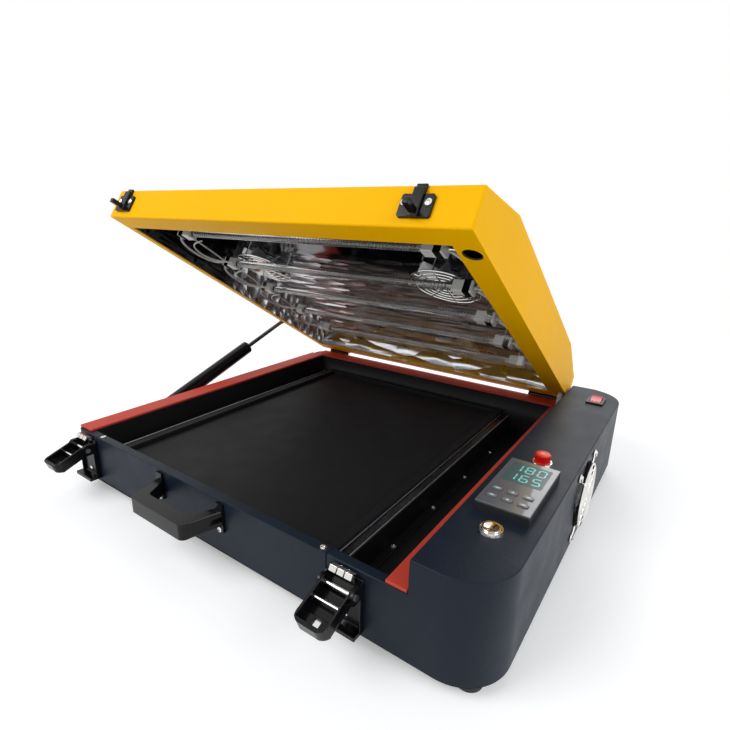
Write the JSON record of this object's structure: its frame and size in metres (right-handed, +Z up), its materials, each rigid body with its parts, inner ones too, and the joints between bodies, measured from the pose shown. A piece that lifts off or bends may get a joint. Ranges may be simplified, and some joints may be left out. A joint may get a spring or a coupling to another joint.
{
  "type": "direct-to-film curing oven",
  "caption": "Low bench oven that cures powder on printed transfer film: steel case with a drawer tray, hinged lid with quartz heating tubes and fans, gas strut, latches and a control box.",
  "frame": {"origin": "middle of the object's bounding box, on the surface that it stands on, with the lid open", "axes": "+Z up, +X towards the control box (the operator's right), -Y towards the operator"},
  "size_m": [0.607, 0.5738, 0.3767],
  "materials": {
    "yellow_powder_coat": "satin",
    "dark_powder_coat": "satin",
    "black_powder_coat": "matte",
    "black_hardware": "satin",
    "zinc_steel": "satin",
    "bright_steel": "polished",
    "bright_reflector": "polished",
    "silicone": "matte",
    "black_rubber": "matte",
    "ceramic_white": "matte",
    "quartz": "polished",
    "lead_sleeve": "matte",
    "black_plastic": "matte",
    "grey_face": "gloss",
    "grey_keys": "satin",
    "red_plastic": "gloss",
    "brass_pins": "polished",
    "dark_dome": "gloss",
    "rotor_steel": "satin",
    "mineral_board": "matte",
    "supply_case": "satin"
  },
  "bodies": {
    "base": {"base_case": "dark_powder_coat", "bottom_plate": "dark_powder_coat", "cavity_liner": "black_powder_coat", "insulation_boards": "mineral_board", "rubber_feet": "black_rubber", "seal_strips": "silicone", "rail_brackets": "black_powder_coat", "outer_rails": "zinc_steel", "latch_bases": "black_hardware", "latch_metal": "bright_steel", "hinge_base_leaves": "black_hardware", "hinge_pins": "bright_steel", "strut_base_stud": "zinc_steel", "power_inlet": "black_plastic", "inlet_pins": "brass_pins", "controller_case": "black_plastic", "controller_face": "grey_face", "button_bezels": "bright_steel", "rocker_frame": "black_plastic", "fan_frame": "black_plastic", "fan_guard": "bright_steel", "power_supply": "supply_case", "solid_state_relay": "supply_case", "case_screws": "bright_steel"},
    "middle_slides": {"middle_rails": "zinc_steel"},
    "drawer": {"inner_rails": "zinc_steel", "drawer_front": "dark_powder_coat", "tray": "black_powder_coat", "handle": "black_powder_coat", "drawer_screws": "bright_steel"},
    "lid": {"lid_shell": "yellow_powder_coat", "reflector": "bright_reflector", "quartz_tubes": "quartz", "ceramic_ends": "ceramic_white", "lamp_clips": "zinc_steel", "heater_leads": "lead_sleeve", "lid_fan_guards": "bright_steel", "badge_ring": "bright_steel", "badge_dome": "dark_dome", "keepers": "black_hardware", "hinge_lid_leaves": "black_hardware", "strut_lid_stud": "zinc_steel", "lead_conduit": "lead_sleeve", "lid_screws": "bright_steel"},
    "strut_tube": {"strut_cylinder": "black_hardware"},
    "strut_piston_rod": {"strut_rod": "bright_steel"},
    "left_latch": {"left_lever": "black_hardware"},
    "right_latch": {"right_lever": "black_hardware"},
    "start_button": {"steel_button": "bright_steel"},
    "stop_button": {"red_button": "red_plastic"},
    "power_switch": {"rocker": "red_plastic"},
    "cooling_rotor": {"fan_rotor": "black_plastic"},
    "left_lid_rotor": {"left_fan_rotor": "rotor_steel"},
    "right_lid_rotor": {"right_fan_rotor": "rotor_steel"},
    "key_1_cap": {"key_1": "grey_keys"},
    "key_2_cap": {"key_2": "grey_keys"},
    "key_3_cap": {"key_3": "grey_keys"},
    "key_4_cap": {"key_4": "grey_keys"},
    "key_5_cap": {"key_5": "grey_keys"},
    "key_6_cap": {"key_6": "grey_keys"}
  },
  "joints": [
    {"name": "lid_hinge", "type": "hinge", "parent": "base", "child": "lid", "pos_m": [-0.0255, 0.27308, 0.07765], "axis": [1, 0, 0], "range_deg": [0, 31.4]},
    {"name": "drawer_slide", "type": "slide", "parent": "base", "child": "drawer", "axis": [0, -1, 0], "range_m": [0, 0.27]},
    {"name": "middle_slide", "type": "slide", "parent": "base", "child": "middle_slides", "axis": [0, -1, 0], "range_m": [0, 0.135]},
    {"name": "strut_lower_pivot", "type": "hinge", "parent": "base", "child": "strut_tube", "pos_m": [-0.2925, -0.11992, 0.049], "axis": [1, 0, 0], "range_deg": [-10.51, 0.5]},
    {"name": "strut_upper_pivot", "type": "hinge", "parent": "lid", "child": "strut_piston_rod", "pos_m": [-0.2925, 0.17866, 0.15713], "axis": [1, 0, 0], "range_deg": [-41.91, 0.5]},
    {"name": "left_latch_pivot", "type": "hinge", "parent": "base", "child": "left_latch", "pos_m": [-0.2475, -0.24692, 0.061], "axis": [1, 0, 0], "range_deg": [-110, 0]},
    {"name": "right_latch_pivot", "type": "hinge", "parent": "base", "child": "right_latch", "pos_m": [0.1695, -0.24692, 0.061], "axis": [1, 0, 0], "range_deg": [-110, 0]},
    {"name": "start_button_push", "type": "slide", "parent": "base", "child": "start_button", "axis": [0, 0, -1], "range_m": [0, 0.002], "stiffness_N_per_m": 600, "springref_m": -0.003},
    {"name": "stop_button_push", "type": "slide", "parent": "base", "child": "stop_button", "axis": [0, 0, -1], "range_m": [0, 0.004], "stiffness_N_per_m": 600, "springref_m": -0.003},
    {"name": "power_switch_rock", "type": "hinge", "parent": "base", "child": "power_switch", "pos_m": [0.2695, 0.21108, 0.108], "axis": [1, 0, 0], "range_deg": [-18, 0]},
    {"name": "cooling_fan_spin", "type": "hinge", "parent": "base", "child": "cooling_rotor", "pos_m": [0.2835, 0.02708, 0.061], "axis": [1, 0, 0], "continuous": true},
    {"name": "left_lid_fan_spin", "type": "hinge", "parent": "lid", "child": "left_lid_rotor", "pos_m": [-0.1855, 0.02633, 0.27706], "axis": [0, 0.521, 0.8536], "continuous": true},
    {"name": "right_lid_fan_spin", "type": "hinge", "parent": "lid", "child": "right_lid_rotor", "pos_m": [0.1165, 0.02633, 0.27706], "axis": [0, 0.521, 0.8536], "continuous": true},
    {"name": "key_1_push", "type": "slide", "parent": "base", "child": "key_1_cap", "axis": [0, 0, -1], "range_m": [0, 0.0006], "stiffness_N_per_m": 400, "springref_m": -0.001},
    {"name": "key_2_push", "type": "slide", "parent": "base", "child": "key_2_cap", "axis": [0, 0, -1], "range_m": [0, 0.0006], "stiffness_N_per_m": 400, "springref_m": -0.001},
    {"name": "key_3_push", "type": "slide", "parent": "base", "child": "key_3_cap", "axis": [0, 0, -1], "range_m": [0, 0.0006], "stiffness_N_per_m": 400, "springref_m": -0.001},
    {"name": "key_4_push", "type": "slide", "parent": "base", "child": "key_4_cap", "axis": [0, 0, -1], "range_m": [0, 0.0006], "stiffness_N_per_m": 400, "springref_m": -0.001},
    {"name": "key_5_push", "type": "slide", "parent": "base", "child": "key_5_cap", "axis": [0, 0, -1], "range_m": [0, 0.0006], "stiffness_N_per_m": 400, "springref_m": -0.001},
    {"name": "key_6_push", "type": "slide", "parent": "base", "child": "key_6_cap", "axis": [0, 0, -1], "range_m": [0, 0.0006], "stiffness_N_per_m": 400, "springref_m": -0.001}
  ],
  "couplings": [
    {"joint": "middle_slide", "follows": "drawer_slide", "ratio": 0.5},
    {"joint": "strut_lower_pivot", "follows": "lid_hinge", "ratio": -0.3187},
    {"joint": "strut_upper_pivot", "follows": "lid_hinge", "ratio": -1.3187}
  ]
}
